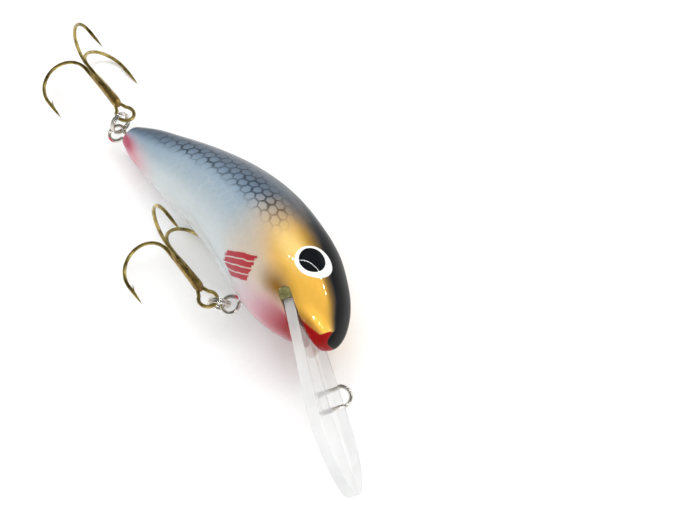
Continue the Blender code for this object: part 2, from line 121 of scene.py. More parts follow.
# Tow eye: a hairpin through two holes of the bib, with both legs under it.
TOW_WIRE = 0.45
TOW_HOLES = (15.0, 19.3)
TOW_LOOP_HEIGHT = 4.4
TOW_LEG_SIDE = 0.65
TOW_HOLE_SIDE = 0.35
TOW_LEG_END = -5.0
TOW_LEG_NARROWS = 2.2
TOW_CORNER = 0.9
WIRE_GAP = 0.3

# Hook hangers: centre of each eyelet, and the direction of its legs into the body.
HANGER_WIRE = 0.45
HANGER_LOOP = 1.95
HANGER_LEG_SIDE = 0.6
HANGER_FOOT_SIDE = 3 * HANGER_LEG_SIDE
HANGER_CORNER = 0.6
HANGER_NECK = radians(24)
HANGER_NECK_LENGTH = 0.9
HANGER_PAINT = (1.7, 2.2)
HANGERS = {
    "belly": {"centre": Vector((50.4, 0, -13.9)), "legs": radians(72), "length": 8.5},
    "tail": {"centre": Vector((-2.8, 0, -3.1)), "legs": radians(17), "length": 9.0},
}

# Split rings: pull direction from the hanger to the treble, and how far each ring leans and
# its treble's eye has slid round it towards the right flank.
RING_WIRE = 0.3
RING_RADIUS = 2.4
RING_PITCH = 0.63
RING_PULL = {"belly": radians(214), "tail": radians(96)}
RING_SEAT = {"belly": 0.3, "tail": 0.4}
RING_LEAN = {"belly": 0.0, "tail": radians(42)}
EYE_SLIDE = {"belly": radians(42), "tail": 0.0}

# Treble hooks, in mm; aim is (yaw towards the right flank, pitch towards the back, turn).
HOOK_WIRE = 0.43
HOOK_EYE = 2.05
HOOK_SHANK = 16.1
HOOK_BEND = 5.96
HOOK_POINT_LEG = 5.7
HOOK_EYE_SEAT = 0.5
HOOK_DOUBLE_SIDE = 0.47
HOOK_SINGLE_OFFSET = 1.08
HOOK_SINGLE_START = 3.6
HOOK_NECK = radians(38)
HOOK_NECK_REACH = 1.9
HOOK_NECK_LENGTH = 2
HOOK_CORNER = 0.9
POINT_TAPER = [0.05, 0.22, 0.38, 0.52, 0.65, 0.76, 0.86, 0.93, 0.97]
SINGLE_START_OFFSETS = (0.0, 0.35, 0.8, 1.5)
SINGLE_START_TAPER = (0.25, 0.6, 0.85)
BARB_ROOT = 3.5
BARB_LENGTH = 1.8
BARB_WIRE = 0.25
BARB_SINK = 0.12
BARB_RISE = 1.0
BRAZE_RADIUS = 1.2
BRAZE_START = 2.5
BRAZE_LENGTH = 12.0
TREBLE_AIM = {
    "belly": (radians(-1), radians(7), radians(-4)),
    "tail": (radians(5.5), radians(7), radians(-1)),
}

# Painted marks on the flank, as places on the body: x in mm, and girth from 0 at the back
# line to 1 at the belly line.
EYE_CENTRE = (62.6, 5.1)
EYE_RADII = (4.25, 3.60)
EYE_TURN = radians(21.4)
PUPIL_RADII = (2.95, 2.78)
PUPIL_SHIFT = (-0.53, 0.19)
EYE_EDGE = (0.983, 1.017)
GILL_CENTRE = (50.2, 0.69)
GILL_GIRTH = 36.0
GILL_TURN = radians(-36)
GILL_HALF = 2.7
GILL_SOFT = 0.3
GILL_FRONT = (3.9, 4.5)
GILL_FRONT_LEAN = 0.45
GILL_BACK = (-5.6, -4.9)
GILL_BACK_SPREAD = 0.75
GILL_STRIPE = (0.03, 0.19)
GILL_COVER = 0.93
SCALE_LENGTH = 2.5
SCALE_HEIGHT = 2.15
SCALE_COVER = 0.8
SCALE_PALE = 0.07
PALE_NET_STRETCH = (16, 50, 6)

# Paint colours, and the flank's own run of colours from the back line to the belly line.
FLANK_STOPS = [
    (0.00, "#333c46"),
    (0.19, "#44505d"),
    (0.29, "#566677"),
    (0.36, "#6a7d8f"),
    (0.45, "#8fa2b1"),
    (0.54, "#a2b0b8"),
    (0.66, "#bac2c5"),
    (1.00, "#d5d9d7"),
]
PAINT = {
    "beige": "#c9b59c",
    "pale_gold": "#d8b98a",
    "gold": "#fcc352",
    # painted highlight: the pale middle of the gold cheek
    "gold_painted_highlight": "#ffe192",
    # painted shade: brown beside the bib's slot and along the lip
    "slot_painted_shade": "#865f24",
    "lip_painted_shade": "#8f5a20",
    "net_on_blue": "#1b2530",
    "net_on_gold": "#523d1e",
    "pale_net": "#dfe8ec",
    "back_fringe": "#4b3c28",
    "slate": "#38434e",
    "dark_slate": "#1b1f25",
    "black": "#050506",
    "throat_pink": "#cc7f8f",
    "throat": "#941521",
    "mouth": "#9c0a0b",
    "tail_pink": "#cc8592",
    "tail_end": "#a43350",
    "gill": "#a0122a",
    "eye_ring": "#f1f1ee",
    "pupil": "#101317",
    "hanger": "#b01c30",
}

# Soft oval patches of paint, among them a painted highlight on the gold and painted shade beside the slot
# and along the lip: centre and reach as (x, girth), and strength in the middle.
PATCHES = {
    # painted highlight on the gold cheek
    "gold_painted_highlight": ((57.5, 0.39), (9.0, 0.13), 0.75),
    # painted shade beside the bib's slot and along the lip
    "slot_painted_shade": ((61.0, 0.58), (7.5, 0.12), 1.0),
    "lip_painted_shade": ((70.0, 0.62), (6.0, 0.09), 0.8),
    "throat_pink": ((66.0, 0.88), (21.0, 0.40), 1.0),
    "throat": ((71.0, 0.80), (15.5, 0.46), 1.25),
    "tail_pink": ((-2.0, 0.86), (20.0, 0.46), 1.5),
    "tail_end": ((0.0, 0.70), (8.0, 0.24), 1.5),
}

# Stretches of x over which a paint effect grows, with how much it grows where that isn't 1.
STRETCHES = {
    "tail": (0, 22),
    "beige": (38, 52, 0.8),
    "gold": (41, 57),
    "gold_tone": (46, 60),
    "gold_lower": (44, 62, 0.07),
    "gold_lowest": (61, 69, 0.15),
    "gold_top": (50, 64, 0.15),
    "net_start": (-4, 22),
    "net_end": (45, 55),
    "net_brown": (43, 50),
    "back_wide": (44, 68, 0.14),
    "back_front": (70, 75, 0.07),
    "back_tip": (74.3, 74.97, 0.8),
    "back_brown": (42, 54, 0.85),
    "back_dark": (30, 58),
    "black": (48, 60),
    "mouth": (66.5, 69.5),
    "mouth_line": (73.1, 75, 0.33),
}
TAIL_SHIFT = 0.07
GOLD_MIDDLE = 0.46

# Edges of paint across the girth, as the two ends of a smooth step.
EDGES = {
    "gold_low": (-0.08, 0.06),
    "gold_high": (0.17, 0.34),
    "back_fringe": (0.12, 0.28),
    "back": (0.07, 0.18),
    "black": (0.02, 0.12),
    "throat": (0.60, 0.70),
    "lip": (0.620, 0.645),
}

# Bands of girth, as low, high and softness.
BANDS = {
    "pearl": (0.18, 0.62, 0.08),
    "beige": (0.36, 0.70, 0.09),
    "net": (0.19, 0.43, 0.06),
    "bold_net": (0.26, 0.40, 0.05),
    "pale_net": (0.42, 0.60, 0.05),
}

# Finishes: surface values, noise (scale, detail, roughness), its two tones, then what some
# have: edges of the tones, roughness as (least, spread), scale of drawing marks, and lumps.
METAL = {"Metallic": 1.0}
NICKEL = (METAL, (380.0, 3.0, 0.6), ("#cfc9c0", "#f2efe9"))
FINISHES = {
    "nickel_wire": (*NICKEL, {"rough": (0.16, 0.12), "marks": 5200.0}),
    "nickel_coils": (*NICKEL, {"rough": (0.12, 0.12), "marks": 5200.0}),
    "bronzed_wire": (
        {**METAL, "Coat_Weight": 0.3, "Coat_Roughness": 0.08},
        (420.0, 3.0, 0.6),
        ("#786834", "#c6b066"),
        {"edge": (0.3, 0.7), "rough": (0.22, 0.16), "marks": 4200.0},
    ),
    "brown_braze": (
        {**METAL, "Coat_Weight": 0.4, "Coat_Roughness": 0.1},
        (650.0, 4.0, 0.65),
        ("#775a2b", "#ba9b54"),
        {"edge": (0.3, 0.7), "rough": (0.3, 0.2), "lumps": (0.00008, 0.8)},
    ),
    "dull_lead": (
        METAL,
        (300.0, 4.0, 0.6),
        ("#6a6d72", "#8b8e92"),
        {"rough": (0.5, 0.25), "lumps": (0.0001, 0.6)},
    ),
    "polished_steel": (METAL, (500.0, 3.0, 0.6), ("#bcbdbf", "#d9dadb"), {"rough": (0.08, 0.1)}),
    "olive_resin": (
        {
            "Roughness": 0.15,
            "Coat_Weight": 0.6,
            "Subsurface_Weight": 0.4,
            "Subsurface_Radius": (0.001, 0.001, 0.0004),
            "Subsurface_Scale": 0.5,
        },
        (700.0, 3.0, 0.6),
        ("#5f5c36", "#8a8658"),
        {"edge": (0.35, 0.7), "lumps": (0.00006, 0.6)},
    ),
    "white_card": ({"Roughness": 0.6}, (800.0, 4.0, 0.6), ("#f4f4f4", "#fafafa"), {"lumps": (2e-5, 0.3)}),
}
INNER_FINISH = {
    "belly_ballast": "dull_lead",
    "rattle_ball_front": "polished_steel",
    "rattle_ball_rear": "polished_steel",
}


def rgb(code):
    """A hex colour as linear red, green, blue and alpha."""
    channels = [int(code[place : place + 2], 16) / 255 for place in (1, 3, 5)]
    linear = [c / 12.92 if c <= 0.04045 else ((c + 0.055) / 1.055) ** 2.4 for c in channels]
    return (*linear, 1.0)


def paint(name):
    """A named paint colour."""
    return rgb(PAINT[name])


def lure_matrix():
    """The lure's own axes in the row frame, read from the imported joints."""
    joints = {joint["name"]: joint for joint in frame["joints"]}
    forward = Vector(joints["front_rattle_roll"]["axis"]).normalized()
    left = -Vector(joints["belly_ring_swing"]["axis"]).normalized()
    matrix = Matrix((forward, left, forward.cross(left))).transposed().to_4x4()
    seat = matrix.to_3x3() @ ring_seat("belly") * MM
    matrix.translation = Vector(joints["belly_ring_swing"]["pos_m"]) - seat
    return matrix @ Matrix.Scale(MM, 4)


# ---------------- pieces


def add_object(name, data):
    """A new object in the scene, for good or only while a mesh is being worked out."""
    item = bpy.data.objects.new(name, data)
    bpy.context.scene.collection.objects.link(item)
    return item


def add_piece(name, mesh, finish, body, replaced=()):
    """Put a mesh drawn in the lure's axes into the scene, riding on a CAD body."""
    piece = add_object(name, mesh)
    mesh.transform(LURE)
    mesh.materials.clear()
    mesh.materials.append(finish)
    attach(piece, body)
    if replaced:
        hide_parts(*replaced)
    return piece


def smooth_mesh(mesh, angle=40):
    """Shade a mesh smooth, with edges sharper than an angle in degrees kept sharp."""
    mesh.shade_smooth()
    mesh.set_sharp_from_angle(angle=radians(angle))


def evaluated_mesh(item):
    """The mesh of an object with its modifiers applied; the object itself is removed."""
    bpy.context.view_layer.update()
    evaluated = item.evaluated_get(bpy.context.evaluated_depsgraph_get())
    mesh = bpy.data.meshes.new_from_object(evaluated)
    bpy.data.objects.remove(item)
    return mesh


def weld(mesh, distance=0.001):
    """Merge doubled points and turn all faces outward."""
    shape = bmesh.new()
    shape.from_mesh(mesh)
    bmesh.ops.remove_doubles(shape, verts=shape.verts, dist=distance)
    bmesh.ops.recalc_face_normals(shape, faces=shape.faces)
    shape.to_mesh(mesh)
    shape.free()
    return mesh


def wire_mesh(path, radius, shares=None, sides=4):
    """A round wire along a path; shares gives each point's share of the radius."""
    curve = bpy.data.curves.new("wire", "CURVE")
    curve.dimensions = "3D"
    curve.bevel_depth = radius
    curve.bevel_resolution = sides
    curve.use_fill_caps = True
    spline = curve.splines.new("POLY")
    spline.points.add(len(path) - 1)
    for index, place in enumerate(path):
        spline.points[index].co = (*place, 1.0)
        if shares is not None:
            spline.points[index].radius = shares[index]
    mesh = weld(evaluated_mesh(add_object("wire", curve)))
    smooth_mesh(mesh, 50)
    return mesh


def mesh_from(shape, name):
    """A mesh from a bmesh, which is freed."""
    mesh = bpy.data.meshes.new(name)
    shape.to_mesh(mesh)
    shape.free()
    return mesh


def join_meshes(meshes, name):
    """Several meshes as one."""
    shape = bmesh.new()
    for mesh in meshes:
        shape.from_mesh(mesh)
    joined = mesh_from(shape, name)
    smooth_mesh(joined, 50)
    return joined


def loft(rings, name):
    """Skin closed rings of points into one solid, with a flat face at each end."""
    shape = bmesh.new()
    loops = [[shape.verts.new(point) for point in ring] for ring in rings]
    count = len(loops[0])
    for ring, following in zip(loops, loops[1:]):
        for index in range(count):
            other = (index + 1) % count
            shape.faces.new((ring[index], ring[other], following[other], following[index]))
    shape.faces.new(loops[0])
    shape.faces.new(loops[-1])
    bmesh.ops.recalc_face_normals(shape, faces=shape.faces)
    return mesh_from(shape, name)


def rounded_path(corners, radius, steps=10):
    """Replace each inner corner of a path with an arc-like bend."""
    path = [Vector(corners[0])]
    for before, corner, after in zip(corners, corners[1:], corners[2:]):
        corner = Vector(corner)
        back = Vector(before) - corner
        onward = Vector(after) - corner
        reach = min(radius, back.length / 2, onward.length / 2)
        start = corner + back.normalized() * reach
        end = corner + onward.normalized() * reach
        for step in range(steps + 1):
            share = step / steps
            path.append(start.lerp(corner, share).lerp(corner.lerp(end, share), share))
    path.append(Vector(corners[-1]))
    return path


def arc(centre, first, second, radius, start, end, steps):
    """Points on an arc in the plane of two unit vectors."""
    points = []
    for step in range(steps + 1):
        angle = start + (end - start) * step / steps
        points.append(centre + (first * cos(angle) + second * sin(angle)) * radius)
    return points


# ---------------- body


def knot_values(column, x):
    """A smooth curve through one column of the body's knots, at the stations x."""
    along = np.array([knot[0] * BODY_LENGTH for knot in BODY_KNOTS])
    values = np.array([knot[column] for knot in BODY_KNOTS])
    slopes = np.gradient(values, along)
    index = np.clip(np.searchsorted(along, x) - 1, 0, len(along) - 2)
    span = along[index + 1] - along[index]
    t = (x - along[index]) / span
    return (
        values[index] * (1 + 2 * t) * (1 - t) ** 2
        + slopes[index] * span * t * (1 - t) ** 2
        + values[index + 1] * t * t * (3 - 2 * t)
        - slopes[index + 1] * span * t * t * (1 - t)
    )


def body_sections(x):
    """Centre height, half height and half width of the body at the stations x."""
    back, belly, width = (knot_values(column, x) for column in (1, 2, 3))
    nose = np.clip((x / BODY_LENGTH - NOSE_START) / (1 - NOSE_START), 0, 1)
    closing = np.sqrt(np.clip(1 - nose**2, 0, 1))
    centre = (back + belly) / 2 * (1 - nose**2) + NOSE_TIP_Z * nose**2
    tail = np.clip(1 - x / TAIL_ROUND, 0, 1)
    ending = TAIL_END_SHARE + (1 - TAIL_END_SHARE) * np.sqrt(1 - tail**2)
    return centre, (back - belly) / 2 * closing * ending, width * closing**NOSE_FULLNESS * ending


def bib_matrix():
    """Axes of the bib: across the lure, along the bib, and off its upper face."""
    across = Vector((0, -1, 0))
    along = Vector((cos(BIB_ANGLE), 0, -sin(BIB_ANGLE)))
    upper = Vector((sin(BIB_ANGLE), 0, cos(BIB_ANGLE)))
    matrix = Matrix((across, along, upper)).transposed().to_4x4()
    matrix.translation = BIB_ORIGIN
    return matrix


def slot_distance(x, z):
    """Distance from the slot's walls in side view, negative inside the slot."""
    along = (x - BIB_ORIGIN.x) * cos(BIB_ANGLE) - (z - BIB_ORIGIN.z) * sin(BIB_ANGLE)
    off = (x - BIB_ORIGIN.x) * sin(BIB_ANGLE) + (z - BIB_ORIGIN.z) * cos(BIB_ANGLE)
    half = BIB_THICKNESS / 2 + SLOT_GAP
    beyond = np.maximum(BIB_INNER_END - SLOT_BACK + half - along, 0)
    return np.hypot(beyond, off) - half


def body_grid():
    """Points of the painted skin, one row for each station, with soft lips at the slot."""
    straight = np.linspace(0, BODY_LENGTH * NOSE_START, 150)
    tail = TAIL_ROUND * (1 - np.cos(np.linspace(0, pi / 2, 8)[:-1]))
    nose_angles = np.radians(np.linspace(0, 89, 90))[1:]
    nose = BODY_LENGTH * (NOSE_START + (1 - NOSE_START) * np.sin(nose_angles))
    x = np.concatenate([tail, straight[straight > TAIL_ROUND], nose])[:, None]
    angle = np.radians(np.linspace(0, 360, 200, endpoint=False))[None, :]
    centre, half_height, half_width = body_sections(x)
    power = 2 / SECTION_POWER
    across = -np.sign(np.sin(angle)) * np.abs(np.sin(angle)) ** power
    up = np.sign(np.cos(angle)) * np.abs(np.cos(angle)) ** power
    y = across * half_width
    z = centre + up * half_height
    near = np.clip(slot_distance(x, z), 0, LIP_RADIUS)
    inset = LIP_RADIUS - np.sqrt(LIP_RADIUS**2 - (LIP_RADIUS - near) ** 2)
    size = np.hypot(across * half_width, up * half_height)
    shrink = 1 - inset / np.maximum(size, 1.0)
    return x + 0 * y, y * shrink, centre + (z - centre) * shrink


def grid_mesh(x, y, z, name):
    """Skin a grid of rings into one closed body."""
    return weld(loft(np.stack([x, y, z], axis=-1).tolist(), name), 1e-5)


def slot_profile(half, end, steps):
    """Side view of the slot or its glue, from the front end over the round back and forward."""
    back = BIB_INNER_END - SLOT_BACK + BIB_THICKNESS / 2 + SLOT_GAP
    side = [(end, half)]
    for step in range(steps + 1):
        angle = pi / 2 + pi * step / steps
        side.append((back + half * cos(angle), half * sin(angle)))
    return [*side, (end, -half)]


def slot_cutter():
    """The bib's slot as a solid across the whole body."""
    side = slot_profile(BIB_THICKNESS / 2 + SLOT_GAP, BIB_TIP, 24)
    rings = []
    for across in (-CUTTER_HALF_WIDTH, CUTTER_HALF_WIDTH):
        rings.append([BIB @ Vector((across, along, off)) for along, off in reversed(side)])
    return loft(rings, "slot_cutter")


def combine(mesh, cutter, operation):
    """One mesh cut by another, or the part that they share."""
    target = add_object("target", mesh)
    tool = add_object("tool", cutter)
    modifier = target.modifiers.new("cut", "BOOLEAN")
    modifier.operation = operation
    modifier.solver = "EXACT"
    modifier.object = tool
    result = evaluated_mesh(target)
    bpy.data.objects.remove(tool)
    return result


def add_paint_places(mesh):
    """Store each point's place on the painted body: x, girth, and the distance round it in mm."""
    points = np.zeros(len(mesh.vertices) * 3)
    mesh.vertices.foreach_get("co", points)
    x, y, z = points.reshape(-1, 3).T
    centre, half_height, half_width = body_sections(np.clip(x, 0, BODY_LENGTH - 0.01))
    up = (z - centre) / np.maximum(half_height, 0.01)
    across = np.abs(y) / np.maximum(half_width, 0.01)
    power = SECTION_POWER / 2
    angle = np.arctan2(np.sign(up) * np.abs(up) ** power, across**power)
    girth = 0.5 - angle / pi
    around = girth * pi * (half_height + half_width) / 2
    attribute = mesh.attributes.new("paint", "FLOAT_VECTOR", "POINT")
    attribute.data.foreach_set("vector", np.stack([x, girth, around], axis=-1).ravel())


def make_body():
    """The painted body with the bib's slot cut through its nose."""
    mesh = grid_mesh(*body_grid(), "painted_body")
    mesh = combine(mesh, slot_cutter(), "DIFFERENCE")
    add_paint_places(mesh)
    smooth_mesh(mesh, 45)
    replaced = ("body_shell_right", "body_shell_left")
    add_piece("painted_body", mesh, paint_material(), "lure_body", replaced)


# ---------------- bib


def bib_outline():
    """The bib widens in a straight line, and a half ellipse rounds its tip."""
    start = Vector((BIB_ROOT_HALF_WIDTH, BIB_INNER_END))
    widest = Vector((BIB_HALF_WIDTH, BIB_WIDEST))
    right = [start.lerp(widest, step / 24) for step in range(24)]
    for step in range(49):
        angle = pi / 2 * step / 48
        along = BIB_WIDEST + (BIB_TIP - BIB_WIDEST) * sin(angle)
        right.append(Vector((BIB_HALF_WIDTH * cos(angle), along)))
    return right + [Vector((-point.x, point.y)) for point in reversed(right[:-1])]


def bib_ring(inset, off):
    """Points round the bib at one height off its mid-plane, moved in from its edge."""
    outline = bib_outline()
    ring = []
    for index, point in enumerate(outline):
        before = outline[max(index - 1, 0)]
        after = outline[min(index + 1, len(outline) - 1)]
        tangent = (after - before).normalized()
        moved = point + Vector((-tangent.y, tangent.x)) * inset
        ring.append(BIB @ Vector((moved.x, max(moved.y, BIB_INNER_END), off)))
    return ring


def make_bib():
    """The clear bib, with softened edges and two holes for the tow eye's wire."""
    profile = []
    for step in range(5):
        angle = pi / 2 * step / 4
        drop = BIB_EDGE - BIB_EDGE * cos(angle)
        profile.append((BIB_EDGE * (1 - sin(angle)), BIB_THICKNESS / 2 - drop))
    profile += [(inset, -off) for inset, off in reversed(profile)]
    mesh = loft([bib_ring(inset, off) for inset, off in profile], "bib")
    for side, along in ((-TOW_HOLE_SIDE, TOW_HOLES[0]), (TOW_HOLE_SIDE, TOW_HOLES[1])):
        ends = [BIB @ Vector((side, along, off)) for off in (-HOLE_CUTTER, HOLE_CUTTER)]
        mesh = combine(mesh, wire_mesh(ends, TOW_WIRE + WIRE_HOLE_GAP, sides=10), "DIFFERENCE")
    smooth_mesh(mesh, 35)
    bib = add_piece("clear_bib", mesh, bib_material(), "lure_body", ("diving_bib",))
    mesh.materials.append(bib_edge_material())
    upper = LURE.to_3x3().normalized() @ BIB.to_3x3().col[2]
    middle = LURE @ BIB_ORIGIN
    flat = (BIB_THICKNESS / 2 - BIB_EDGE / 3) * MM
    for face in bib.data.polygons:
        level = abs((face.center - middle).dot(upper))
        face.material_index = int(level < flat and face.area > EDGE_FACE)


def make_glue():
    """Cured resin that fills the slot's back end, flush with the body's flanks."""
    half = BIB_THICKNESS / 2 + SLOT_GAP - GLUE_GAP
    front = BIB_INNER_END - GLUE_LAP
    rings = []
    for step in range(41):
        across = GLUE_HALF_WIDTH * (step / 20 - 1)
        meniscus = GLUE_MENISCUS * (abs(across) / GLUE_HALF_WIDTH) ** 6
        ring = []
        for along, off in slot_profile(half, front, 16):
            reach = meniscus if along > BIB_INNER_END - GLUE_FRONT else 0
            ring.append(BIB @ Vector((across, along + reach, off)))
        rings.append(ring)
    x, y, z = body_grid()
    centre, _, _ = body_sections(x)
    inside = grid_mesh(x, y * GLUE_SHARE, centre + (z - centre) * GLUE_SHARE, "inside")
    mesh = combine(loft(rings, "plug"), inside, "INTERSECT")
    smooth_mesh(mesh, 40)
    add_piece("glue_plug", mesh, finish_material("olive_resin"), "lure_body", ("slot_glue",))


# ---------------- wires


def tow_leg(side, along, top):
    """From the end of one leg under the bib, through its hole and up to the loop."""
    under = -(BIB_THICKNESS / 2 + WIRE_GAP + TOW_WIRE)
    leg, hole = side * TOW_LEG_SIDE, side * TOW_HOLE_SIDE
    corners = [(leg, TOW_LEG_END, under), (leg, along - TOW_LEG_NARROWS, under)]
    return rounded_path([*corners, (hole, along, under), (hole, along, top)], TOW_CORNER)


def tow_eye_path():
    """The hairpin: one leg forward under the bib, over the loop, and the other leg back."""
    rear, front = TOW_HOLES
    loop = (front - rear) / 2
    top = BIB_THICKNESS / 2 + TOW_LOOP_HEIGHT - loop
    path = tow_leg(-1, rear, top)
    for step in range(1, 32):
        angle = pi * (1 - step / 32)
        along = (front + rear) / 2 + loop * cos(angle)
        off = top + loop * sin(angle)
        path.append(Vector((-TOW_HOLE_SIDE * cos(angle), along, off)))
    return [BIB @ point for point in path + tow_leg(1, front, top)[::-1]]


def hanger_path(hanger):
    """An eyelet: two legs with splayed feet in the body, and the loop between them outside."""
    inward = Vector((cos(hanger["legs"]), 0, sin(hanger["legs"])))
    sideways = Vector((-inward.z, 0, inward.x))
    opening = HANGER_LOOP * cos(HANGER_NECK)
    centre = hanger["centre"]
    corners = [
        (hanger["length"], HANGER_FOOT_SIDE),
        (hanger["length"], HANGER_LEG_SIDE),
        (opening + HANGER_NECK_LENGTH, HANGER_LEG_SIDE),
        (opening, HANGER_LOOP * sin(HANGER_NECK)),
    ]
    places = [centre + inward * depth + sideways * side for depth, side in corners]
    leg = rounded_path(places, HANGER_CORNER)
    mirrored = [point - sideways * 2 * (point - centre).dot(sideways) for point in leg[::-1]]
    ring = arc(centre, inward, sideways, HANGER_LOOP, HANGER_NECK, 2 * pi - HANGER_NECK, 64)
    return leg + ring[1:-1] + mirrored


def make_wires():
    """The tow eye and both hook hangers, in bright wire."""
    nickel = finish_material("nickel_wire")
    mesh = wire_mesh(tow_eye_path(), TOW_WIRE)
    add_piece("tow_eye", mesh, nickel, "lure_body", ("tow_eye_wire",))
    for place, hanger in HANGERS.items():
        mesh = wire_mesh(hanger_path(hanger), HANGER_WIRE)
        finish = hanger_material(place)
        replaced = (f"{place}_hanger",)
        add_piece(f"{place}_eyelet", mesh, finish, "lure_body", replaced)


# ---------------- rings and trebles


def ring_direction(place, turn):
    """A direction in a ring's plane: its pull direction, turned towards the right flank."""
    pull = Vector((cos(RING_PULL[place]), 0, sin(RING_PULL[place])))
    return pull * cos(turn) - Vector((0, sin(turn), 0))


def ring_seat(place):
    """Where the split ring's wire sits inside its hanger."""
    return HANGERS[place]["centre"] + ring_direction(place, 0.0) * RING_SEAT[place]


def treble_seat(place):
    """Where the split ring passes through the treble's eye."""
    centre = ring_direction(place, RING_LEAN[place])
    eye = ring_direction(place, EYE_SLIDE[place])
    return ring_seat(place) + (centre + eye) * RING_RADIUS


def split_ring_mesh(place):
    """Two touching coils of round wire, each end cut square beside the other coil."""
    forward = ring_direction(place, RING_LEAN[place])
    side = ring_direction(place, RING_LEAN[place] - pi / 2)
    normal = forward.cross(side)
    seat = ring_seat(place)
    path = []
    for step in range(160):
        turn = step / 80 - 1
        angle = 2 * pi * turn + pi / 2
        around = forward * (1 + cos(angle)) + side * sin(angle)
        path.append(seat + around * RING_RADIUS + normal * RING_PITCH * turn)
    return wire_mesh(path, RING_WIRE)


def treble_directions(place):
    """Centre of a treble's eye, and directions along its shank and towards its three hooks."""
    yaw, pitch, turn = TREBLE_AIM[place]
    shank = Vector((-cos(yaw) * cos(pitch), -sin(yaw), sin(pitch)))
    down = Vector((0, 0, -1))
    belly = (down - shank * down.dot(shank)).normalized()
    belly.rotate(Matrix.Rotation(turn, 3, shank))
    flank = shank.cross(belly)
    if flank.y > 0:
        flank = -flank
    third = radians(120)
    left = belly * cos(third) - flank * sin(third)
    right = belly * cos(third) + flank * sin(third)
    return treble_seat(place) + shank * HOOK_EYE_SEAT, shank, belly, left, right


def hook_bend(shank, radial, foot):
    """The bend and the point of one hook, from the end of its shank to its tip."""
    centre = foot + shank * HOOK_SHANK + radial * HOOK_BEND
    bend = arc(centre, -radial, shank, HOOK_BEND, 0.0, pi, 48)
    tip_start = centre + radial * HOOK_BEND
    point = [tip_start - shank * HOOK_POINT_LEG * step / 12 for step in range(1, 13)]
    return bend + point


def sharpened(count, ends):
    """Radius shares along a hook's wire, tapering to a needle point at the named ends."""
    shares = [1.0] * count
    for offset, share in enumerate(POINT_TAPER):
        if "start" in ends:
            shares[offset] = share
        if "end" in ends:
            shares[count - 1 - offset] = share
    return shares


def barb_mesh(shank, radial, foot):
    """A sliver of wire raised on the inner side of the point, aimed back at the bend."""
    tip = foot + shank * (HOOK_SHANK - HOOK_POINT_LEG) + radial * 2 * HOOK_BEND
    base = tip + shank * BARB_ROOT - radial * BARB_SINK
    end = tip + shank * (BARB_ROOT + BARB_LENGTH) - radial * BARB_RISE
    middle = base.lerp(end, 0.55) + radial * BARB_SINK
    path = []
    shares = []
    for step in range(9):
        share = step / 8
        path.append(base.lerp(middle, share).lerp(middle.lerp(end, share), share))
        shares.append(1.0 - 0.94 * share**1.3)
    return wire_mesh(path, BARB_WIRE, shares, sides=2)


def double_hook_mesh(place):
    """One wire: a hook, its shank, the eye, the other shank and its hook, with both barbs."""
    eye, shank, belly, left, _ = treble_directions(place)
    across = (belly - left).normalized()
    belly_foot = eye + across * HOOK_DOUBLE_SIDE
    left_foot = eye - across * HOOK_DOUBLE_SIDE
    eye_arc = arc(eye, shank, across, HOOK_EYE, HOOK_NECK, 2 * pi - HOOK_NECK, 64)
    start = shank * (HOOK_EYE * cos(HOOK_NECK) + HOOK_NECK_REACH)
    end = start + shank * HOOK_NECK_LENGTH
    upper = rounded_path([eye_arc[0], belly_foot + start, belly_foot + end], HOOK_CORNER)
    lower = rounded_path([eye_arc[-1], left_foot + start, left_foot + end], HOOK_CORNER)
    path = hook_bend(shank, belly, belly_foot)[::-1] + upper[:0:-1]
    path += eye_arc + lower[1:] + hook_bend(shank, left, left_foot)
    wire = wire_mesh(path, HOOK_WIRE, sharpened(len(path), ("start", "end")))
    barbs = [barb_mesh(shank, belly, belly_foot), barb_mesh(shank, left, left_foot)]
    return join_meshes([wire, *barbs], "double_hook")


def single_hook_mesh(place):
    """The third hook, laid in the groove between the two shanks and tapered at its upper end."""
    eye, shank, _, _, right = treble_directions(place)
    foot = eye + right * HOOK_SINGLE_OFFSET
    path = [foot + shank * (HOOK_SINGLE_START + offset) for offset in SINGLE_START_OFFSETS]
    path += hook_bend(shank, right, foot)
    shares = sharpened(len(path), ("end",))
    shares[: len(SINGLE_START_TAPER)] = SINGLE_START_TAPER
    wire = wire_mesh(path, HOOK_WIRE, shares)
    return join_meshes([wire, barb_mesh(shank, right, foot)], "single_hook")


def braze_mesh(place):
    """Brass run into the grooves between the three shanks, thickest near the eye."""
    eye, shank, _, _, right = treble_directions(place)
    path = []
    shares = []
    for step in range(49):
        share = step / 48
        outward = 0.12 + 0.30 * min(1.0, share * 5)
        path.append(eye + shank * (BRAZE_START + BRAZE_LENGTH * share) + right * outward)
        swell = min(1.0, share * 8) ** 0.5 * (1 - 0.42 * share - 0.35 * share**6)
        shares.append(0.3 + 0.7 * swell)
    return wire_mesh(path, BRAZE_RADIUS, shares, sides=10)


def make_tackle(place):
    """A split ring and a brazed treble hook, each on its own CAD body."""
    ring_body, treble_body = f"{place}_ring", f"{place}_treble"
    mesh = split_ring_mesh(place)
    replaced = (f"{place}_split_ring",)
    add_piece(f"{place}_ring_coils", mesh, RING_NICKEL, ring_body, replaced)
    for kind, builder in (("double", double_hook_mesh), ("single", single_hook_mesh)):
        replaced = (f"{place}_treble_{kind}_hook",)
        name = f"{place}_hook_{kind}"
        add_piece(name, builder(place), HOOK_BRONZE, treble_body, replaced)
    add_piece(f"{place}_braze", braze_mesh(place), BRAZE, treble_body)


# ---------------- materials


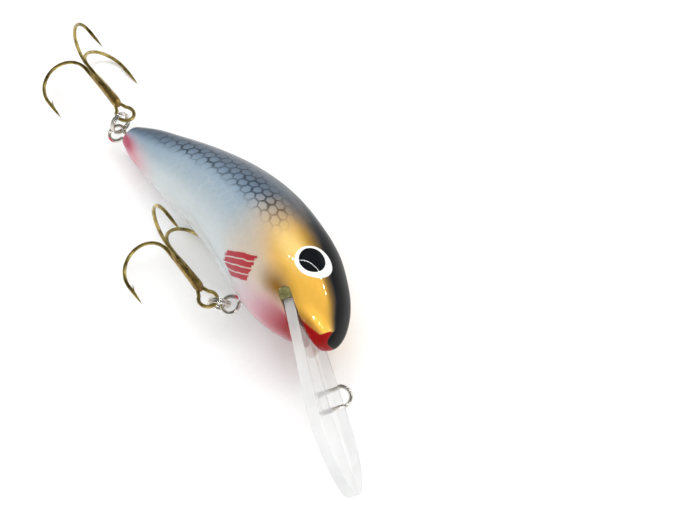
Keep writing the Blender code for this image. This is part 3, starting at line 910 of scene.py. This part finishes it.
class Shader:
    """A Principled material with short calls for its nodes."""

    def __init__(self, name, **values):
        self.material = bpy.data.materials.new(name)
        self.material.use_nodes = True
        self.tree = self.material.node_tree
        self.surface = self.tree.nodes["Principled BSDF"]
        for key, value in values.items():
            self.surface.inputs[key.replace("_", " ")].default_value = value

    def add(self, kind, inputs=(), **settings):
        """Add a node; inputs are values or other nodes' sockets."""
        item = self.tree.nodes.new(f"ShaderNode{kind}")
        for key, value in settings.items():
            setattr(item, key, value)
        for key, value in dict(inputs).items():
            if isinstance(value, bpy.types.NodeSocket):
                self.tree.links.new(value, item.inputs[key])
            else:
                item.inputs[key].default_value = value
        return item

    def link(self, socket, name):
        """Feed a socket into the surface shader."""
        self.tree.links.new(socket, self.surface.inputs[name])

    def calc(self, operation, first, second=0.0):
        """A maths node."""
        return self.add("Math", {0: first, 1: second}, operation=operation).outputs[0]

    def times(self, first, *others):
        """A product."""
        for other in others:
            first = self.calc("MULTIPLY", first, other)
        return first

    def plus(self, first, *others):
        """A sum."""
        for other in others:
            first = self.calc("ADD", first, other)
        return first

    def minus(self, first, second):
        """A difference."""
        return self.calc("SUBTRACT", first, second)

    def flip(self, share):
        """What a share leaves of 1."""
        return self.minus(1.0, share)

    def spread(self, share, least, more):
        """A value that rises from the least by more, as a share grows from 0 to 1."""
        return self.plus(least, self.times(share, more))

    def centred(self, noise, amount):
        """Noise moved to either side of 0, times an amount."""
        return self.times(self.minus(noise, 0.5), amount)

    def vector(self, operation, *inputs):
        """A vector maths node's outputs."""
        return self.add("VectorMath", enumerate(inputs), operation=operation).outputs

    def step(self, value, low, high):
        """A smooth step from 0 at low to 1 at high."""
        inputs = {"Value": value, "From Min": low, "From Max": high}
        return self.add("MapRange", inputs, interpolation_type="SMOOTHSTEP").outputs["Result"]

    def band(self, value, low, high, soft):
        """1 between low and high, fading to 0 over soft on either side."""
        rise = self.step(value, low - soft, low + soft)
        return self.minus(rise, self.step(value, high - soft, high + soft))

    def grow(self, value, name):
        """A smooth rise over one of the named stretches."""
        low, high, *amount = STRETCHES[name]
        return self.times(self.step(value, low, high), *amount)

    def mix(self, share, first, second, blend="MIX"):
        """A mix of two colours."""
        inputs = {0: share, 6: first, 7: second}
        return self.add("Mix", inputs, data_type="RGBA", blend_type=blend).outputs[2]

    def place(self):
        """The place on the piece at rest, in metres."""
        return self.add("TexCoord").outputs["Object"]

    def noise(self, scale, detail=2.0, roughness=0.5):
        """Noise from 0 to 1."""
        inputs = {"Vector": self.place(), "Scale": scale, "Detail": detail, "Roughness": roughness}
        return self.add("TexNoise", inputs).outputs["Fac"]

    def split(self, vector):
        """The three parts of a vector."""
        return self.add("SeparateXYZ", {0: vector}).outputs

    def lure_place(self):
        """The same place in the lure's own axes, in mm."""
        to_lure = LURE.inverted()
        inputs = {
            "Vector": self.place(),
            "Location": to_lure.translation,
            "Rotation": to_lure.to_euler(),
            "Scale": to_lure.to_scale(),
        }
        return self.split(self.add("Mapping", inputs).outputs[0])

    def bump(self, height, distance, strength=1.0, target="Normal"):
        """Raise the surface by a height from 0 to 1."""
        inputs = {"Height": height, "Distance": distance, "Strength": strength}
        self.link(self.add("Bump", inputs).outputs["Normal"], target)


def hexagon_net(mat, along, around):
    """Distance from the net's strands, 0 on a strand and 0.5 in the middle of a hexagon."""
    root = sqrt(3)
    point = mat.add("CombineXYZ", {0: around, 1: along}).outputs[0]
    cells = []
    for shift in (0.0, 0.5):
        moved = mat.vector("ADD", point, (shift, shift * root, 0))[0]
        wrapped = mat.vector("WRAP", moved, (1, root, 1), (0, 0, 0))[0]
        centred = mat.vector("SUBTRACT", wrapped, (0.5, root / 2, 0.5))[0]
        folded = mat.vector("ABSOLUTE", centred)[0]
        slanted = mat.vector("DOT_PRODUCT", folded, (0.5, root / 2, 0))["Value"]
        cells.append(mat.calc("MAXIMUM", slanted, mat.split(folded)[0]))
    return mat.minus(0.5, mat.calc("MINIMUM", *cells))


def paint_material():
    """Airbrushed paint under a glossy clear coat."""
    coat = {"Coat_Roughness": 0.02, "Coat_IOR": 1.4}
    mat = Shader("airbrushed_paint", Roughness=0.42, Specular_IOR_Level=0.0, **coat)
    places = mat.add("Attribute", attribute_name="paint", attribute_type="GEOMETRY")
    x, girth, around = mat.split(places.outputs["Vector"])
    cloud = mat.noise(160.0)
    soft_girth = mat.plus(girth, mat.centred(cloud, 0.05))
    tail = mat.times(mat.flip(mat.grow(x, "tail")), TAIL_SHIFT)
    colour = flank_colour(mat, mat.minus(soft_girth, tail))
    colour, gold = head_colour(mat, colour, x, soft_girth)
    colour = scale_colour(mat, colour, x, girth, around, cloud)
    colour, mouth = red_colour(mat, colour, x, soft_girth)
    colour, dark = back_colour(mat, colour, x, soft_girth)
    colour = gill_colour(mat, colour, x, girth)
    colour, eye = eye_colour(mat, colour)
    grain = mat.spread(mat.noise(900.0, 3.0, 0.7), 0.94, 0.12)
    tint = mat.add("CombineColor", {0: grain, 1: grain, 2: grain}).outputs[0]
    mat.link(mat.mix(1.0, colour, tint, "MULTIPLY"), "Base Color")

    pearl = mat.times(mat.band(girth, *BANDS["pearl"]), 0.2)
    flake = mat.plus(pearl, mat.times(gold, 0.35))
    plain = mat.flip(mat.calc("MAXIMUM", eye, dark))
    mat.link(mat.times(flake, plain), "Metallic")
    dull = mat.times(mat.calc("MAXIMUM", dark, mouth), 0.7)
    mat.link(mat.flip(dull), "Coat Weight")
    mat.bump(mat.noise(260.0, 2.0, 0.4), 0.00002, 0.6, "Coat Normal")
    mat.bump(eye, 0.00004, 0.7)
    return mat.material


def flank_colour(mat, girth):
    """Slate back, steel-blue upper flank, silver flank and pearl belly."""
    ramp = mat.add("ValToRGB", {0: girth})
    while len(ramp.color_ramp.elements) < len(FLANK_STOPS):
        ramp.color_ramp.elements.new(0.5)
    for element, (position, code) in zip(ramp.color_ramp.elements, FLANK_STOPS):
        element.position = position
        element.color = rgb(code)
    return ramp.outputs[0]


def patch(mat, x, girth, name):
    """One of the soft oval patches, strongest in its middle."""
    centre, reach, strength = PATCHES[name]
    across = mat.calc("DIVIDE", mat.minus(x, centre[0]), reach[0])
    down = mat.calc("DIVIDE", mat.minus(girth, centre[1]), reach[1])
    square = mat.plus(mat.times(across, across), mat.times(down, down))
    return mat.times(mat.flip(mat.step(mat.calc("SQRT", square), 0.0, 1.0)), strength)


def head_colour(mat, colour, x, girth):
    """Beige shoulder, gold cheek with a painted highlight in its middle, and brown painted shade beside
    the slot and along the lip.
    """
    beige = mat.times(mat.grow(x, "beige"), mat.band(girth, *BANDS["beige"]))
    colour = mat.mix(beige, colour, paint("beige"))
    lower = mat.plus(mat.grow(x, "gold_lower"), mat.grow(x, "gold_lowest"))
    low_edge = mat.plus(mat.minus(GOLD_MIDDLE, girth), lower)
    raised = mat.plus(girth, mat.grow(x, "gold_top"))
    gold = mat.times(mat.step(low_edge, *EDGES["gold_low"]), mat.step(raised, *EDGES["gold_high"]))
    gold = mat.times(gold, mat.grow(x, "gold"))
    tone = mat.mix(mat.grow(x, "gold_tone"), paint("pale_gold"), paint("gold"))
    colour = mat.mix(gold, colour, tone)
    # Painted highlight: a pale patch in the middle of the gold cheek.
    pale = mat.times(patch(mat, x, girth, "gold_painted_highlight"), gold)
    colour = mat.mix(pale, colour, paint("gold_painted_highlight"))
    # Painted shade: brown patches beside the bib's slot and along the lip.
    for name in ("slot_painted_shade", "lip_painted_shade"):
        colour = mat.mix(patch(mat, x, girth, name), colour, paint(name))
    return colour, gold


def scale_colour(mat, colour, x, girth, around, cloud):
    """Dark net strands along the upper flank, and faint pale ones on the silver below."""
    drift = mat.centred(cloud, 0.5)
    along = mat.plus(mat.calc("DIVIDE", x, SCALE_LENGTH), drift)
    across = mat.plus(mat.calc("DIVIDE", around, SCALE_HEIGHT), drift)
    distance = hexagon_net(mat, along, across)
    smudge = mat.step(mat.noise(520.0, 3.0, 0.6), 0.35, 0.65)
    width = mat.spread(smudge, 0.10, 0.16)
    strand = mat.flip(mat.step(mat.calc("DIVIDE", distance, width), 0.1, 1.0))
    patches = mat.step(mat.noise(240.0), 0.30, 0.62)
    bold = mat.times(mat.band(girth, *BANDS["bold_net"]), patches, 0.6)
    depth = mat.plus(mat.times(mat.band(girth, *BANDS["net"]), 0.5), bold)
    fade = mat.times(mat.grow(x, "net_start"), mat.flip(mat.grow(x, "net_end")))
    share = mat.calc("MINIMUM", mat.times(strand, fade, depth), SCALE_COVER)
    dark = mat.mix(mat.grow(x, "net_brown"), paint("net_on_blue"), paint("net_on_gold"))
    colour = mat.mix(share, colour, dark)
    low = mat.times(mat.band(girth, *BANDS["pale_net"]), mat.band(x, *PALE_NET_STRETCH))
    return mat.mix(mat.times(strand, low, patches, SCALE_PALE), colour, paint("pale_net"))


def back_colour(mat, colour, x, girth):
    """The dark back, broad and black over the head, brown where it thins over the gold."""
    lowered = [mat.grow(x, name) for name in ("back_wide", "back_front", "back_tip")]
    edge = mat.minus(girth, mat.plus(*lowered))
    fringe = mat.flip(mat.step(edge, *EDGES["back_fringe"]))
    brown = mat.times(fringe, mat.grow(x, "back_brown"))
    colour = mat.mix(brown, colour, paint("back_fringe"))
    slate = mat.mix(mat.grow(x, "back_dark"), paint("slate"), paint("dark_slate"))
    cover = mat.flip(mat.step(edge, *EDGES["back"]))
    colour = mat.mix(cover, colour, slate)
    head = mat.grow(x, "black")
    black = mat.times(head, mat.flip(mat.step(edge, *EDGES["black"])))
    dark = mat.times(cover, mat.spread(head, 0.75, 0.25))
    return mat.mix(black, colour, paint("black")), dark


def red_colour(mat, colour, x, girth):
    """Red throat and mouth, and a red flush under the tail."""
    below = mat.step(girth, *EDGES["throat"])
    for name in ("throat_pink", "throat"):
        share = mat.times(patch(mat, x, girth, name), below)
        colour = mat.mix(mat.calc("MINIMUM", share, 1.0), colour, paint(name))
    line = mat.plus(girth, mat.grow(x, "mouth_line"))
    mouth = mat.times(mat.grow(x, "mouth"), mat.step(line, *EDGES["lip"]))
    colour = mat.mix(mouth, colour, paint("mouth"))
    for name, most in (("tail_pink", 0.8), ("tail_end", 0.85)):
        share = mat.calc("MINIMUM", patch(mat, x, girth, name), most)
        colour = mat.mix(share, colour, paint(name))
    return colour, mouth


def gill_colour(mat, colour, x, girth):
    """A fan of four crimson stripes with pale lines between them."""
    down = mat.times(mat.minus(girth, GILL_CENTRE[1]), GILL_GIRTH)
    forward = mat.minus(x, GILL_CENTRE[0])
    axes = []
    for turn in (GILL_TURN, GILL_TURN + pi / 2):
        first = mat.times(forward, cos(turn))
        axes.append(mat.plus(first, mat.times(down, sin(turn))))
    ragged = mat.plus(axes[0], mat.centred(mat.noise(1400.0), 1.8))
    across = mat.plus(axes[1], mat.centred(mat.noise(330.0), 0.9))
    band = mat.band(across, -GILL_HALF, GILL_HALF, GILL_SOFT)
    leaning = mat.plus(ragged, mat.times(across, GILL_FRONT_LEAN))
    front = mat.flip(mat.step(leaning, *GILL_FRONT))
    spread = mat.times(mat.calc("ABSOLUTE", mat.plus(across, GILL_SOFT)), GILL_BACK_SPREAD)
    back = mat.step(mat.minus(ragged, spread), *GILL_BACK)
    phase = mat.calc("PINGPONG", mat.plus(across, GILL_HALF), GILL_HALF / 4)
    mark = mat.times(band, mat.step(phase, *GILL_STRIPE), front, back, GILL_COVER)
    return mat.mix(mark, colour, paint("gill"))


def eye_axes():
    """Centre of the right eye on the skin, and two directions along the skin there."""
    x, z = EYE_CENTRE
    points = []
    for shift_x, shift_z in ((0, 0), (0.5, 0), (0, 0.5)):
        centre, half_height, half_width = body_sections(np.array([x + shift_x]))
        up = abs(z + shift_z - centre[0]) / half_height[0]
        across = (1 - up**SECTION_POWER) ** (1 / SECTION_POWER)
        points.append(Vector((x + shift_x, -across * half_width[0], z + shift_z)))
    forward = (points[1] - points[0]).normalized()
    normal = forward.cross(points[2] - points[0]).normalized()
    up = normal.cross(forward)
    along = forward * cos(EYE_TURN) + up * sin(EYE_TURN)
    return points[0], along, normal.cross(along)


def eye_colour(mat, colour):
    """A white eye ring and a dark pupil set a little back in it, on both flanks."""
    own = mat.lure_place()
    side = mat.times(mat.calc("ABSOLUTE", own[1]), -1.0)
    place = mat.add("CombineXYZ", {0: own[0], 1: side, 2: own[2]}).outputs[0]
    centre, forward, up = eye_axes()
    wobble = mat.centred(mat.noise(500.0, 1.0), 0.05)
    shares = []
    for shift, radii in (((0.0, 0.0), EYE_RADII), (PUPIL_SHIFT, PUPIL_RADII)):
        middle = centre + forward * shift[0] + up * shift[1]
        offset = mat.vector("SUBTRACT", place, middle)[0]
        squares = []
        for axis, radius in zip((forward, up), radii):
            reach = mat.vector("DOT_PRODUCT", offset, axis / radius)["Value"]
            squares.append(mat.times(reach, reach))
        edge = mat.plus(mat.calc("SQRT", mat.plus(*squares)), wobble)
        shares.append(mat.flip(mat.step(edge, *EYE_EDGE)))
    colour = mat.mix(shares[0], colour, paint("eye_ring"))
    return mat.mix(shares[1], colour, paint("pupil")), shares[0]


def bib_material():
    """Clear polycarbonate, a little cloudy with tiny scuffs."""
    clear = {"IOR": 1.585, "Transmission_Weight": 1.0, "Alpha": 0.5}
    mat = Shader("clear_polycarbonate", Base_Color=rgb("#f7f9f9"), **clear)
    scuff = mat.step(mat.noise(420.0, 4.0, 0.6), 0.5, 0.8)
    mat.link(mat.spread(scuff, 0.02, 0.10), "Roughness")
    mat.bump(mat.noise(90.0, 1.0, 0.3), 0.00003, 0.5)
    return mat.material


def bib_edge_material():
    """The bib's sanded edge, frosted and pale."""
    mat = Shader("frosted_edge", IOR=1.585, Transmission_Weight=0.5, Alpha=0.75)
    grain = mat.noise(1500.0, 3.0, 0.6)
    mat.link(mat.mix(mat.noise(140.0), rgb("#dcdede"), rgb("#f6f7f7")), "Base Color")
    mat.link(mat.spread(grain, 0.35, 0.3), "Roughness")
    mat.bump(grain, 0.00003, 0.6)
    return mat.material


def hanger_material(place):
    """Nickel wire that has caught red paint where it stands near the body."""
    mat = Shader(f"{place}_hanger_nickel")
    rough = mat.centred(mat.noise(900.0, 3.0), 0.9)
    height = mat.plus(mat.lure_place()[2], rough)
    level = HANGERS[place]["centre"].z
    near, far = HANGER_PAINT
    if place == "tail":
        red = mat.flip(mat.step(height, level - far, level - near))
    else:
        red = mat.step(height, level + near, level + far)
    _, noise, tones = NICKEL
    tone = mat.noise(*noise)
    nickel = mat.mix(tone, *map(rgb, tones))
    mat.link(mat.mix(red, nickel, paint("hanger")), "Base Color")
    mat.link(mat.flip(red), "Metallic")
    mat.link(mat.spread(tone, 0.16, 0.15), "Roughness")
    return mat.material


def finish_material(name):
    """One of the finishes: two tones in a noise, with fine drawing marks or lumps."""
    values, noise, tones, more = FINISHES[name]
    mat = Shader(name, **values)
    tone = mat.noise(*noise)
    share = mat.step(tone, *more["edge"]) if "edge" in more else tone
    mat.link(mat.mix(share, *map(rgb, tones)), "Base Color")
    if "rough" in more:
        mat.link(mat.spread(tone, *more["rough"]), "Roughness")
    if "marks" in more:
        mat.bump(mat.noise(more["marks"], 2.0, 0.6), 0.00001, 0.5)
    if "lumps" in more:
        mat.bump(tone, *more["lumps"])
    return mat.material


# ---------------- studio


def add_floor():
    """A wide white table top under the lure."""
    shape = bmesh.new()
    bmesh.ops.create_grid(shape, x_segments=8, y_segments=8, size=TABLE_SIZE)
    table = add_object("table", mesh_from(shape, "table"))
    table.data.materials.append(finish_material("white_card"))
    table.location.z = -TABLE_DROP


def add_lamp(name, place, power, shape, size):
    """An area light that faces the middle of the table."""
    light = bpy.data.lights.new(name, "AREA")
    light.energy = power
    light.shape = shape
    light.size = size
    item = add_object(name, light)
    item.location = place
    item.rotation_euler = (-Vector(place)).to_track_quat("-Z", "Y").to_euler()
    return item


def add_studio():
    """Soft light from a wide overhead panel, with four rows of small lamps for sparkle."""
    world = bpy.data.worlds.new("studio")
    bpy.context.scene.world = world
    world.use_nodes = True
    nodes, links = world.node_tree.nodes, world.node_tree.links
    direction = nodes.new("ShaderNodeTexCoord")
    parts = nodes.new("ShaderNodeSeparateXYZ")
    height = nodes.new("ShaderNodeMapRange")
    height.interpolation_type = "SMOOTHSTEP"
    for name, value in WALL_TO_CEILING.items():
        height.inputs[name].default_value = value
    links.new(direction.outputs["Generated"], parts.inputs[0])
    links.new(parts.outputs["Z"], height.inputs["Value"])
    links.new(height.outputs["Result"], nodes["Background"].inputs["Strength"])
    nodes["Background"].inputs["Color"].default_value = (1.0, 1.0, 1.0, 1.0)
    panel = add_lamp("panel", PANEL_PLACE, PANEL_POWER, "SQUARE", PANEL_SIZE)
    panel.visible_glossy = False
    for row, (start, end, count, size, power) in enumerate(LAMP_ROWS):
        for index in range(count):
            place = Vector(start).lerp(Vector(end), index / (count - 1))
            add_lamp(f"lamp_{row}_{index}", place, power, "DISK", size)


def add_camera():
    """The camera, placed round a point on the table."""
    data = bpy.data.cameras.new("camera")
    data.lens = CAMERA_LENS
    data.clip_start = 0.01
    camera = add_object("camera", data)
    away = Vector((cos(CAMERA_AZIMUTH), sin(CAMERA_AZIMUTH), tan(CAMERA_ELEVATION)))
    away.normalize()
    turn = (-away).to_track_quat("-Z", "Y").to_matrix() @ Matrix.Rotation(CAMERA_ROLL, 3, "Z")
    camera.matrix_world = Matrix.Translation(CAMERA_TARGET + away * CAMERA_DISTANCE) @ turn.to_4x4()
    bpy.context.scene.camera = camera


LURE = lure_matrix()
BIB = bib_matrix()
RING_NICKEL = finish_material("nickel_coils")
HOOK_BRONZE = finish_material("bronzed_wire")
BRAZE = finish_material("brown_braze")

make_body()
make_bib()
make_glue()
make_wires()
for tackle in ("belly", "tail"):
    make_tackle(tackle)

for node, finish_name in INNER_FINISH.items():
    frame["nodes"][node].data.materials.clear()
    frame["nodes"][node].data.materials.append(finish_material(finish_name))

add_floor()
add_studio()
add_camera()
bpy.context.scene.view_settings.view_transform = "Standard"
